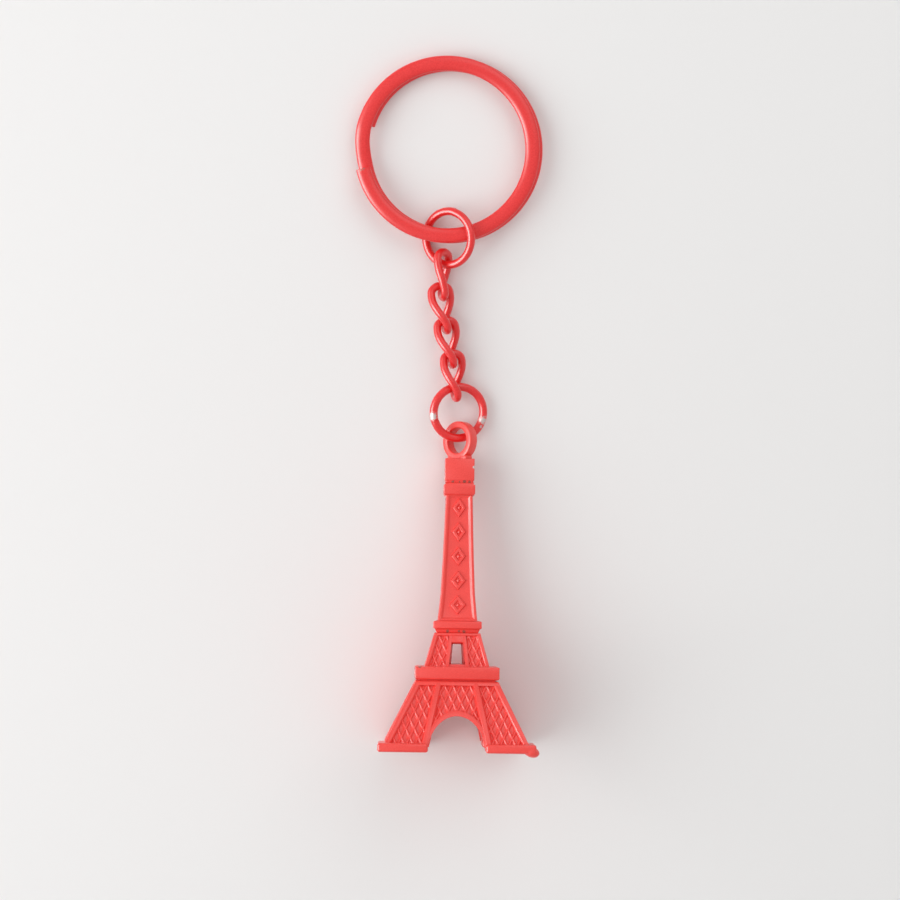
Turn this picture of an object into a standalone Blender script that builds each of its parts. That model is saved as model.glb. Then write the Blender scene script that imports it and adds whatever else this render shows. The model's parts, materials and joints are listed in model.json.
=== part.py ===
"""Souvenir keychain: a four-legged lattice tower charm on a short twisted chain and a split ring.

The keychain lies on a table, the surface z = 0. +Y runs along it, from the tower's feet to the
split ring, and +X is to the right. The origin is on the table, in the middle of the keychain's box.
"""

from math import asin, atan2, cos, pi, radians, sin, sqrt

import bmesh
import bpy
from mathutils import Matrix, Vector

MM = 0.001

# Split ring: flattened wire, wound into two turns that lie on each other
RING_OUTER_DIAMETER = 24.6 * MM
RING_WIRE_WIDTH = 1.95 * MM
RING_WIRE_THICKNESS = 0.98 * MM
RING_TURN_GAP = 0.06 * MM        # between the two turns
RING_TURN_SHIFT = 0.4 * MM       # the lower turn sits this far to the right of the upper one
RING_UPPER_END = radians(193)    # where the upper turn is cut off
RING_LOWER_END = radians(163)    # where the lower turn is cut off; the wire crosses over in between
RING_STEP = radians(6)
RING_CENTRE = Vector((-0.2, 34.4, 0)) * MM

# Jump rings: round wire, one turn, butted ends
UPPER_JUMP_DIAMETER = 8.15 * MM  # outside
UPPER_JUMP_WIRE = 1.07 * MM
UPPER_JUMP_CENTRE = Vector((0.01, 22.8, 0)) * MM
UPPER_JUMP_TILT = radians(-33)  # its right side passes over the split ring, its left side under
UPPER_JUMP_SEAM = radians(80)
UPPER_JUMP_HOOK = radians(248)   # where the first link holds it
LOWER_JUMP_DIAMETER = 8.0 * MM
LOWER_JUMP_WIRE = 1.1 * MM
LOWER_JUMP_CENTRE = Vector((1.36, -0.46, 2.02)) * MM
LOWER_JUMP_TILT = radians(15)    # its left side is raised
LOWER_JUMP_SEAM = radians(200)
SEAM_GAP = 0.15 * MM

# Curb chain: four links of one size, each twisted between its two ends
LINK_WIRE = 1.1 * MM
LINK_LENGTH = 7.15 * MM          # outside
LINK_WIDTH = 4.08 * MM           # outside
LINK_SEAM = radians(115)         # where the wire ends meet, from the link's right side
LINK_REACH = (LINK_LENGTH - LINK_WIRE) / 2   # from a link's centre to the wire's middle at its end
CHAIN_HEIGHT = 2.08 * MM         # of the links' centre lines above the table
# From the split ring to the tower, the number is the key: the centre seen from above, how far the
# link bears to the left of +Y, the roll of its far end and the twist from there to its near end
LINKS = {
    1: ((-0.71 * MM, 17.92 * MM), radians(0), radians(51), radians(51)),
    2: ((-0.46 * MM, 13.47 * MM), radians(9.7), radians(11.5), radians(90)),
    3: ((0.31 * MM, 8.9 * MM), radians(9.4), radians(13), radians(90)),
    4: ((0.92 * MM, 4.46 * MM), radians(5.7), radians(13.5), radians(90)),
}

# Tower charm: square in plan, (height above the feet, half of its width)
TOWER_LEVELS = [
    (38.45 * MM, 1.95 * MM),     # head
    (35.6 * MM, 1.95 * MM),
    (35.5 * MM, 1.8 * MM),       # groove under the head
    (35.3 * MM, 1.8 * MM),
    (35.2 * MM, 2.06 * MM),      # collar
    (33.8 * MM, 2.06 * MM),
    (33.6 * MM, 1.76 * MM),      # shaft, hollow in outline
    (29.5 * MM, 1.88 * MM),
    (25.0 * MM, 2.04 * MM),
    (20.5 * MM, 2.24 * MM),
    (17.0 * MM, 2.58 * MM),
    (16.8 * MM, 3.18 * MM),      # upper platform
    (15.5 * MM, 3.18 * MM),
    (15.4 * MM, 2.98 * MM),      # middle storey
    (11.0 * MM, 4.22 * MM),
    (10.9 * MM, 5.52 * MM),      # lower platform
    (9.1 * MM, 5.52 * MM),
    (9.0 * MM, 5.4 * MM),        # legs
    (1.2 * MM, 9.25 * MM),
    (1.15 * MM, 10.2 * MM),      # feet
    (0.0, 10.2 * MM),
]
FOOT_THICKNESS = TOWER_LEVELS[-2][0]
TOWER_HEIGHT = TOWER_LEVELS[0][0]
FOOT_HALF = TOWER_LEVELS[-1][1]
ARCH_HALF_WIDTH = 4.04 * MM
ARCH_SPRING = 0.66 * MM          # height where the arch's half circle starts
WINDOW_BOTTOM = 11.25 * MM
WINDOW_TOP = 14.1 * MM
WINDOW_HALF_BOTTOM = 1.08 * MM
WINDOW_HALF_TOP = 0.76 * MM
LOOP_DIAMETER = 5.2 * MM
LOOP_HOLE = 3.4 * MM
LOOP_THICKNESS = 1.4 * MM
LOOP_HEIGHT = TOWER_HEIGHT + 2.5 * MM   # centre of the loop above the feet
LOOP_TURN = radians(-45)         # about the tower's axis
TOWER_FOOT = Vector((0.77, -44.42, 0)) * MM
TOWER_LEAN = radians(1.1)        # clockwise, seen from above

ENAMEL = (0.86, 0.075, 0.065, 1)


def clearScene():
    for obj in list(bpy.data.objects):
        bpy.data.objects.remove(obj, do_unlink=True)


def collection(name):
    made = bpy.data.collections.new(name)
    bpy.context.scene.collection.children.link(made)
    return made


def enamel(name, roughness):
    material = bpy.data.materials.new(name)
    material.use_nodes = True
    shader = material.node_tree.nodes["Principled BSDF"]
    shader.inputs["Base Color"].default_value = ENAMEL
    shader.inputs["Roughness"].default_value = roughness
    shader.inputs["Metallic"].default_value = 0.0
    return material


def moveTo(obj, target):
    for owner in list(obj.users_collection):
        owner.objects.unlink(obj)
    target.objects.link(obj)


def pivot(name, place):
    """An empty on a joint's axis. The piece that turns there is its child."""
    empty = bpy.data.objects.new(name, None)
    empty.empty_display_size = 2 * MM
    empty.location = place
    keychain.objects.link(empty)
    return empty


def wire(name, points, diameter, owner, material):
    """A round wire with flat ends through points given in world coordinates."""
    curve = bpy.data.curves.new(name, "CURVE")
    curve.dimensions = "3D"
    curve.bevel_depth = diameter / 2
    curve.bevel_resolution = 2
    curve.use_fill_caps = True
    spline = curve.splines.new("POLY")
    spline.points.add(len(points) - 1)
    for knot, point in zip(spline.points, points):
        knot.co = (*(point - owner.location), 1)
    obj = bpy.data.objects.new(name, curve)
    obj.parent = owner
    obj.data.materials.append(material)
    keychain.objects.link(obj)
    return obj


def jumpRingPoint(radius, centre, tilt, angle):
    """A point of a jump ring's centre line. Its plane is turned about Y."""
    turn = Matrix.Rotation(tilt, 3, "Y")
    return centre + turn @ Vector((radius * cos(angle), radius * sin(angle), 0))


def jumpRingPoints(radius, centre, tilt, seam):
    """One open turn. Angles, and the seam's too, are counted from the ring's right side."""
    gap = SEAM_GAP / radius
    steps = 40
    points = []
    for i in range(steps + 1):
        angle = seam + gap / 2 + (2 * pi - gap) * i / steps
        points.append(jumpRingPoint(radius, centre, tilt, angle))
    return points


def linkCentre(number):
    x, y = LINKS[number][0]
    return Vector((x, y, CHAIN_HEIGHT))


def linkEnd(number, side):
    """The middle of the wire at a link's far end, with side 1, or at its near end, with side -1."""
    heading = Matrix.Rotation(LINKS[number][1], 3, "Z")
    return linkCentre(number) + heading @ Vector((0, side * LINK_REACH, 0))


def linkPoints(number):
    """The centre line of one curb link: an oval whose near end is turned against its far end.

    The far end, towards the split ring, lies flat when its roll is 0.
    """
    centre = linkCentre(number)
    bearing, roll, turned = LINKS[number][1:]
    side = (LINK_WIDTH - LINK_WIRE) / 2
    straight = LINK_REACH - side
    heading = Matrix.Rotation(bearing, 3, "Z")
    gap = SEAM_GAP / side
    steps = 48
    points = []
    for i in range(steps + 1):
        angle = LINK_SEAM + gap / 2 + (2 * pi - gap) * i / steps
        across = side * cos(angle)
        along = side * sin(angle) + straight * max(-1.0, min(1.0, 1.6 * sin(angle)))
        share = (LINK_REACH - along) / (2 * LINK_REACH)
        twist = roll + turned * share * share * (3 - 2 * share)
        offset = Vector((across * cos(twist), along, -across * sin(twist)))
        points.append(centre + heading @ offset)
    return points


def splitRingPoints(centre, tilt):
    """Nearly two turns: the upper turn, a short ramp down, and the lower turn."""
    radius = (RING_OUTER_DIAMETER - RING_WIRE_WIDTH) / 2
    rise = (RING_WIRE_THICKNESS + RING_TURN_GAP) / 2
    rampStart = RING_LOWER_END + 2 * pi
    rampEnd = RING_UPPER_END + 2 * pi
    last = RING_LOWER_END + 4 * pi
    steps = round((last - RING_UPPER_END) / RING_STEP)
    turn = Matrix.Rotation(tilt, 3, "X")
    points = []
    for i in range(steps + 1):
        angle = RING_UPPER_END + (last - RING_UPPER_END) * i / steps
        share = max(0.0, min(1.0, (angle - rampStart) / (rampEnd - rampStart)))
        down = share * share * (3 - 2 * share)
        flat = Vector((radius * cos(angle) + down * RING_TURN_SHIFT, radius * sin(angle),
                       rise * (1 - 2 * down)))
        points.append(centre + turn @ flat)
    return points


def flatWireSection():
    """The split ring's wire, cut across: a flat bar with rounded corners."""
    corner = 0.32 * MM
    curve = bpy.data.curves.new("split_ring_section", "CURVE")
    curve.dimensions = "2D"
    spline = curve.splines.new("POLY")
    points = []
    for quarter in range(4):
        signX = (1, -1, -1, 1)[quarter]
        signY = (1, 1, -1, -1)[quarter]
        for i in range(3):
            angle = pi / 2 * quarter + pi / 4 * i
            x = signX * (RING_WIRE_WIDTH / 2 - corner) + corner * cos(angle)
            y = signY * (RING_WIRE_THICKNESS / 2 - corner) + corner * sin(angle)
            points.append((x, y, 0, 1))
    spline.points.add(len(points) - 1)
    for knot, point in zip(spline.points, reversed(points)):
        knot.co = point
    spline.use_cyclic_u = True
    obj = bpy.data.objects.new("split_ring_section", curve)
    obj.hide_render = True
    cutters.objects.link(obj)
    return obj


def splitRing(owner, points, material):
    curve = bpy.data.curves.new("split_ring", "CURVE")
    curve.dimensions = "3D"
    curve.twist_mode = "Z_UP"
    curve.bevel_mode = "OBJECT"
    curve.bevel_object = flatWireSection()
    curve.use_fill_caps = True
    spline = curve.splines.new("POLY")
    spline.points.add(len(points) - 1)
    for knot, point in zip(spline.points, points):
        knot.co = (*(point - owner.location), 1)
    obj = bpy.data.objects.new("split_ring", curve)
    obj.parent = owner
    obj.data.materials.append(material)
    keychain.objects.link(obj)
    return obj


def prism(name, outline, halfLength, turn):
    """A cutter: an outline in the XZ plane, drawn out along Y, then turned about Z."""
    curve = bpy.data.curves.new(name, "CURVE")
    curve.dimensions = "2D"
    curve.fill_mode = "BOTH"
    curve.extrude = halfLength
    spline = curve.splines.new("POLY")
    spline.points.add(len(outline) - 1)
    for knot, (x, z) in zip(spline.points, outline):
        knot.co = (x, z, 0, 1)
    spline.use_cyclic_u = True
    drawn = bpy.data.objects.new(name, curve)
    drawn.matrix_world = Matrix.Rotation(turn, 4, "Z") @ Matrix.Rotation(pi / 2, 4, "X")
    cutters.objects.link(drawn)
    return curveToMesh(drawn)


def curveToMesh(drawn):
    """Replaces a curve object by its closed mesh."""
    bpy.context.view_layer.update()
    evaluated = drawn.evaluated_get(bpy.context.evaluated_depsgraph_get())
    mesh = bpy.data.meshes.new_from_object(evaluated)
    work = bmesh.new()
    work.from_mesh(mesh)
    bmesh.ops.remove_doubles(work, verts=work.verts, dist=0.001 * MM)
    bmesh.ops.recalc_face_normals(work, faces=work.faces)
    work.to_mesh(mesh)
    work.free()
    name = drawn.name
    place = drawn.matrix_world.copy()
    home = drawn.users_collection[0]
    bpy.data.objects.remove(drawn, do_unlink=True)
    obj = bpy.data.objects.new(name, mesh)
    obj.matrix_world = place
    home.objects.link(obj)
    return obj


def asCutter(obj):
    moveTo(obj, cutters)
    obj.hide_render = True
    obj.display_type = "WIRE"
    return obj


def combine(obj, other, operation):
    step = obj.modifiers.new(other.name, "BOOLEAN")
    step.operation = operation
    step.solver = "EXACT"
    step.object = other


def towerBody():
    """The tower standing up: a square section turned from a profile, its front towards -Y."""
    profile = [(0.0, TOWER_HEIGHT)]
    for height, half in TOWER_LEVELS:
        profile.append((half * sqrt(2), height))
    profile.append((0.0, 0.0))
    mesh = bpy.data.meshes.new("tower_charm")
    edges = [(i, i + 1) for i in range(len(profile) - 1)]
    mesh.from_pydata([(x, 0, z) for x, z in profile], edges, [])
    mesh.transform(Matrix.Rotation(pi / 4, 4, "Z"))
    obj = bpy.data.objects.new("tower_charm", mesh)
    keychain.objects.link(obj)
    square = obj.modifiers.new("square", "SCREW")
    square.axis = "Z"
    square.angle = 2 * pi
    square.steps = 4
    square.render_steps = 4
    square.use_merge_vertices = True
    square.merge_threshold = 0.01 * MM
    return obj


def towerLoop():
    """The cast loop: a flat-sided ring that stands on the head, turned about the tower's axis."""
    place = Vector((0, 0, LOOP_HEIGHT))
    facing = (pi / 2, 0, LOOP_TURN)
    bpy.ops.mesh.primitive_cylinder_add(vertices=40, radius=LOOP_DIAMETER / 2, depth=LOOP_THICKNESS,
                                        location=place, rotation=facing)
    loop = asCutter(bpy.context.object)
    loop.name = "loop"
    bpy.ops.mesh.primitive_cylinder_add(vertices=32, radius=LOOP_HOLE / 2, depth=4 * LOOP_THICKNESS,
                                        location=place, rotation=facing)
    hole = asCutter(bpy.context.object)
    hole.name = "loop_hole"
    return loop, hole


def archOutline():
    points = [(ARCH_HALF_WIDTH, -2 * MM)]
    steps = 24
    for i in range(steps + 1):
        angle = pi * i / steps
        points.append((ARCH_HALF_WIDTH * cos(angle), ARCH_SPRING + ARCH_HALF_WIDTH * sin(angle)))
    points.append((-ARCH_HALF_WIDTH, -2 * MM))
    return points


def windowOutline():
    return [
        (WINDOW_HALF_BOTTOM, WINDOW_BOTTOM),
        (WINDOW_HALF_TOP, WINDOW_TOP),
        (-WINDOW_HALF_TOP, WINDOW_TOP),
        (-WINDOW_HALF_BOTTOM, WINDOW_BOTTOM),
    ]


def tower(owner, material):
    body = towerBody()
    for name, outline in (("arch", archOutline()), ("window", windowOutline())):
        for side, turn in (("front", 0.0), ("side", pi / 2)):
            cutter = asCutter(prism(f"{name}_{side}", outline, 15 * MM, turn))
            cutter.parent = owner
            combine(body, cutter, "DIFFERENCE")
    loop, hole = towerLoop()
    loop.parent = owner
    hole.parent = owner
    combine(body, loop, "UNION")
    combine(body, hole, "DIFFERENCE")
    body.parent = owner
    body.data.materials.append(material)
    return body


def towerTilt():
    """The angle at which the tower lies on the edge of its feet and on its loop."""
    loopReach = LOOP_DIAMETER / 2 * sin(abs(LOOP_TURN)) + LOOP_THICKNESS / 2 * cos(LOOP_TURN)
    return atan2(FOOT_HALF - loopReach - 0.08 * MM, LOOP_HEIGHT - FOOT_THICKNESS)


def upperJumpCentre():
    """The upper jump ring lies on its low side."""
    radius = (UPPER_JUMP_DIAMETER - UPPER_JUMP_WIRE) / 2
    height = radius * sin(abs(UPPER_JUMP_TILT)) + UPPER_JUMP_WIRE / 2
    return UPPER_JUMP_CENTRE + Vector((0, 0, height))


def splitRingRest():
    """The split ring lies on the table at its far side and on the upper jump ring at its near side."""
    lift = UPPER_JUMP_WIRE + 0.35 * MM
    tilt = -asin(lift / (RING_OUTER_DIAMETER - RING_WIRE_WIDTH))
    height = RING_WIRE_THICKNESS + RING_TURN_GAP / 2 + RING_OUTER_DIAMETER / 2 * sin(-tilt)
    return RING_CENTRE + Vector((0, 0, height)), tilt


def layTower(material):
    tilt = towerTilt()
    height = FOOT_HALF * cos(tilt) + FOOT_THICKNESS * sin(tilt)
    frame = pivot("tower_frame", TOWER_FOOT + Vector((0, 0, height)))
    frame.rotation_euler = (-(pi / 2 + tilt), 0, -TOWER_LEAN)
    tower(frame, material)


def layLowerJumpRing(material):
    """It turns in the tower's loop, about its own wire."""
    radius = (LOWER_JUMP_DIAMETER - LOWER_JUMP_WIRE) / 2
    inLoop = jumpRingPoint(radius, LOWER_JUMP_CENTRE, LOWER_JUMP_TILT, -pi / 2)
    owner = pivot("lower_jump_ring_pivot", inLoop)
    points = jumpRingPoints(radius, LOWER_JUMP_CENTRE, LOWER_JUMP_TILT, LOWER_JUMP_SEAM)
    wire("lower_jump_ring", points, LOWER_JUMP_WIRE, owner, material)


def layChain(material):
    """Even links turn about their own near end, odd ones about the far end of the link before."""
    for number in LINKS:
        place = linkEnd(number, -1) if number % 2 == 0 else linkEnd(number + 1, 1)
        owner = pivot(f"chain_link_{number}_pivot", place)
        wire(f"chain_link_{number}", linkPoints(number), LINK_WIRE, owner, material)


def layUpperJumpRing(material):
    """It turns in the first link, about its own wire."""
    radius = (UPPER_JUMP_DIAMETER - UPPER_JUMP_WIRE) / 2
    centre = upperJumpCentre()
    inLink = jumpRingPoint(radius, centre, UPPER_JUMP_TILT, UPPER_JUMP_HOOK)
    owner = pivot("upper_jump_ring_pivot", inLink)
    points = jumpRingPoints(radius, centre, UPPER_JUMP_TILT, UPPER_JUMP_SEAM)
    wire("upper_jump_ring", points, UPPER_JUMP_WIRE, owner, material)


def laySplitRing(material):
    """It slides round through the upper jump ring, about its own centre."""
    centre, tilt = splitRingRest()
    owner = pivot("split_ring_pivot", centre)
    splitRing(owner, splitRingPoints(centre, tilt), material)


def build():
    layTower(enamel("enamel_on_casting", 0.34))
    enamelOnWire = enamel("enamel_on_wire", 0.26)
    layLowerJumpRing(enamelOnWire)
    layChain(enamelOnWire)
    layUpperJumpRing(enamelOnWire)
    laySplitRing(enamel("enamel_on_split_ring", 0.28))


clearScene()
keychain = collection("keychain")
cutters = collection("cutters")
build()
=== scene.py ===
import json
from math import asin, atan2, cos, pi, radians, sin, tan
import bmesh
import bpy
from mathutils import Matrix, Vector


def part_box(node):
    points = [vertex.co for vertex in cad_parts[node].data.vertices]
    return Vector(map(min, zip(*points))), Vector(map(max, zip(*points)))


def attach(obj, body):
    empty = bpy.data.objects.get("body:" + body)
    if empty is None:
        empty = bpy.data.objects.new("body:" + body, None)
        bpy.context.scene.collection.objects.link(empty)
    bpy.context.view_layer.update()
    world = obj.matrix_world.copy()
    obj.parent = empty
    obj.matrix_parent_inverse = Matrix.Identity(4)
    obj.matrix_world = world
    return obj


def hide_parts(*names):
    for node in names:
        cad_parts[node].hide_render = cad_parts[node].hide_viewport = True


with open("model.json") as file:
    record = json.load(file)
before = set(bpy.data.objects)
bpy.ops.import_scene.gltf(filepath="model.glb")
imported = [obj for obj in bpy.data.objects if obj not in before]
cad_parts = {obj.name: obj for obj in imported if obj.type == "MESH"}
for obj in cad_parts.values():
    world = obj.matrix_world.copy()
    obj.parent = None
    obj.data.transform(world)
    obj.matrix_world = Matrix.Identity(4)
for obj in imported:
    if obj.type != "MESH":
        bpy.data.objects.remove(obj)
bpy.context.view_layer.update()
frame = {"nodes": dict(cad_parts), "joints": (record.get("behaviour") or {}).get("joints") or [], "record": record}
print("frame loaded:", len(frame["nodes"]), "pieces")

# pieces are modelled in millimetres and brought to metres when they are put in place
mm = 0.001
joints = {joint["name"]: joint for joint in frame["joints"]}
mounts = {mount["name"]: mount for mount in frame["record"]["mounts"]}


def deselectAll():
    bpy.ops.object.select_all(action="DESELECT")
    bpy.context.view_layer.objects.active = None


def only(obj):
    deselectAll()
    obj.select_set(True)
    bpy.context.view_layer.objects.active = obj


def editOn(obj):
    only(obj)
    bpy.ops.object.mode_set(mode="EDIT")
    bpy.ops.mesh.select_all(action="DESELECT")


def editAll(obj):
    editOn(obj)
    bpy.ops.mesh.select_all(action="SELECT")


def editOff():
    bpy.ops.object.mode_set(mode="OBJECT")


def pickFaces(obj, test):
    # the object is in edit mode and stays there; the same holds for edges and verts
    bpy.ops.mesh.select_mode(type="FACE")
    mesh = bmesh.from_edit_mesh(obj.data)
    for face in mesh.faces:
        face.select_set(test(face))
    mesh.select_flush_mode()
    bmesh.update_edit_mesh(obj.data)


def pickEdges(obj, test):
    bpy.ops.mesh.select_mode(type="EDGE")
    mesh = bmesh.from_edit_mesh(obj.data)
    for edge in mesh.edges:
        edge.select_set(test(edge))
    bmesh.update_edit_mesh(obj.data)


def pickVerts(obj, test):
    bpy.ops.mesh.select_mode(type="VERT")
    mesh = bmesh.from_edit_mesh(obj.data)
    for vert in mesh.verts:
        vert.select_set(test(vert.co))
    mesh.select_flush_mode()
    bmesh.update_edit_mesh(obj.data)


def facesUp(face):
    return face.normal.z > 0.9


def roomIn(face):
    # radius of a circle that just fits, for a regular face
    return 2 * face.calc_area() / face.calc_perimeter()


def isUpright(edge):
    return abs(edge.verts[0].co.z - edge.verts[1].co.z) > 1


def offDiagonal(edge):
    return abs(edge.verts[0].co.x - edge.verts[0].co.y)


def applyModifier(obj, modifier):
    only(obj)
    bpy.ops.object.modifier_apply(modifier=modifier.name)


def bevelEdges(obj, width, segments=2, angle=35):
    # softens every edge that turns more sharply than the angle in degrees
    bevel = obj.modifiers.new("soften", "BEVEL")
    bevel.width = width
    bevel.segments = segments
    bevel.limit_method = "ANGLE"
    bevel.angle_limit = radians(angle)
    bevel.use_clamp_overlap = True
    applyModifier(obj, bevel)


def cut(obj, cutter):
    boolean = obj.modifiers.new("cut", "BOOLEAN")
    boolean.operation = "DIFFERENCE"
    boolean.solver = "EXACT"
    boolean.object = cutter
    applyModifier(obj, boolean)
    bpy.data.objects.remove(cutter, do_unlink=True)


def joined(name, parts):
    deselectAll()
    for part in parts:
        part.select_set(True)
    bpy.context.view_layer.objects.active = parts[0]
    bpy.ops.object.join()
    parts[0].name = name
    parts[0].data.name = name
    return parts[0]


def putInPlace(obj, place):
    # leaves the object at the origin and its place in its mesh
    only(obj)
    bpy.ops.object.transform_apply(location=True, rotation=True, scale=True)
    obj.data.transform(place @ Matrix.Scale(mm, 4))
    editAll(obj)
    bpy.ops.mesh.normals_make_consistent(inside=False)
    editOff()


def middleOf(node):
    low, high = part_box(node)
    return (low + high) / 2


def smoothBy(obj, degrees):
    only(obj)
    bpy.ops.object.shade_smooth_by_angle(angle=radians(degrees))


def finishPiece(obj, body, material):
    obj.data.materials.clear()
    obj.data.materials.append(material)
    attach(obj, body)
    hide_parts(body)


def newGroup(name, inputs, outputs):
    group = bpy.data.node_groups.new(name, "ShaderNodeTree")
    for label, kind, value in inputs:
        socket = group.interface.new_socket(label, in_out="INPUT", socket_type=kind)
        if value is not None:
            socket.default_value = value
    for label, kind in outputs:
        group.interface.new_socket(label, in_out="OUTPUT", socket_type=kind)
    return group, group.nodes.new("NodeGroupInput"), group.nodes.new("NodeGroupOutput")


def addNode(tree, kind, links=None, **values):
    node = tree.nodes.new(kind)
    for key, value in values.items():
        setattr(node, key, value)
    for socket, source in (links or {}).items():
        if hasattr(source, "is_output"):
            tree.links.new(source, node.inputs[socket])
        else:
            node.inputs[socket].default_value = source
    return node


def makeOrangePeel():
    # slow ripple of sprayed enamel plus a fine grit, as a height and a tone
    group, given, result = newGroup("orangePeel", [
        ("Vector", "NodeSocketVector", None),
        ("Ripple per mm", "NodeSocketFloat", 1.1),
        ("Grit per mm", "NodeSocketFloat", 6.0),
        ("Grit share", "NodeSocketFloat", 0.3),
    ], [("Height", "NodeSocketFloat"), ("Tone", "NodeSocketFloat")])
    toMm = addNode(group, "ShaderNodeVectorMath", {0: given.outputs["Vector"]}, operation="SCALE")
    toMm.inputs["Scale"].default_value = 1 / mm
    ripple = addNode(group, "ShaderNodeTexNoise", {
        "Vector": toMm.outputs[0], "Scale": given.outputs["Ripple per mm"],
        "Detail": 2.0, "Roughness": 0.45})
    grit = addNode(group, "ShaderNodeTexNoise", {
        "Vector": toMm.outputs[0], "Scale": given.outputs["Grit per mm"],
        "Detail": 3.0, "Roughness": 0.6})
    mix = addNode(group, "ShaderNodeMix", {
        "Factor": given.outputs["Grit share"], "A": ripple.outputs[0], "B": grit.outputs[0]},
        data_type="FLOAT")
    group.links.new(mix.outputs["Result"], result.inputs["Height"])
    group.links.new(grit.outputs[0], result.inputs["Tone"])
    return group


def makeChipAndPaintedLightSpot():
    # a ragged spot round one point: a chip of missing paint, and on the tower also the painted shade specks and
    # the painted highlight
    group, given, result = newGroup("chipAndPaintedLightSpot", [
        ("Vector", "NodeSocketVector", None),
        ("Centre", "NodeSocketVector", (0.0, 0.0, 0.0)),
        ("Reach mm", "NodeSocketFloat", 0.5),
        ("Ragged", "NodeSocketFloat", 0.5),
    ], [("Mask", "NodeSocketFloat")])
    away = addNode(group, "ShaderNodeVectorMath", {
        0: given.outputs["Vector"], 1: given.outputs["Centre"]}, operation="DISTANCE")
    awayMm = addNode(group, "ShaderNodeMath", {0: away.outputs["Value"], 1: 1 / mm},
                     operation="MULTIPLY")
    toMm = addNode(group, "ShaderNodeVectorMath", {0: given.outputs["Vector"]}, operation="SCALE")
    toMm.inputs["Scale"].default_value = 1 / mm
    edge = addNode(group, "ShaderNodeTexNoise", {
        "Vector": toMm.outputs[0], "Scale": 3.5, "Detail": 3.0, "Roughness": 0.65})
    centred = addNode(group, "ShaderNodeMath", {0: edge.outputs[0], 1: -0.5}, operation="ADD")
    wobble = addNode(group, "ShaderNodeMath", {
        0: centred.outputs[0], 1: given.outputs["Ragged"]}, operation="MULTIPLY")
    ragged = addNode(group, "ShaderNodeMath", {0: awayMm.outputs[0], 1: wobble.outputs[0]},
                     operation="ADD")
    inner = addNode(group, "ShaderNodeMath", {0: given.outputs["Reach mm"], 1: 0.6},
                    operation="MULTIPLY")
    mask = addNode(group, "ShaderNodeMapRange", {
        "Value": ragged.outputs[0], "From Min": given.outputs["Reach mm"],
        "From Max": inner.outputs[0], "To Min": 0.0, "To Max": 1.0})
    group.links.new(mask.outputs[0], result.inputs["Mask"])
    return group


orangePeel = makeOrangePeel()
chipAndPaintedLightSpot = makeChipAndPaintedLightSpot()

paint = {
    "wireDeep": (0.77, 0.009, 0.009, 1),
    "wireLight": (0.85, 0.024, 0.023, 1),
    "castDeep": (0.85, 0.038, 0.029, 1),
    "castLight": (0.92, 0.062, 0.048, 1),
    # primerAndShade: dark brown, for a primer chip on the first platform's corner and for painted shade specks in
    # the head's groove and under the second platform
    "primerAndShade": (0.34, 0.085, 0.060, 1),
    # bareSteelAndHighlight: pale steel where paint is off the lower jump ring and the collar's corners, and a
    # painted highlight on the head's front right corner
    "bareSteelAndHighlight": (0.64, 0.55, 0.53, 1),
    "dullSteel": (0.30, 0.24, 0.20, 1),
}
paintFilm = {
    "coat": 0.5,
    "coatRoughness": 0.3,
    "relief": 0.06,          # mm
    "toneLow": 0.35,         # the grit's range that runs from the deep colour to the light one
    "toneHigh": 0.65,
}
spotLook = {
    "ragged": 2.0,           # against the spot's reach
    "metal": 0.5,
    "roughness": 0.55,
}


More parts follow.
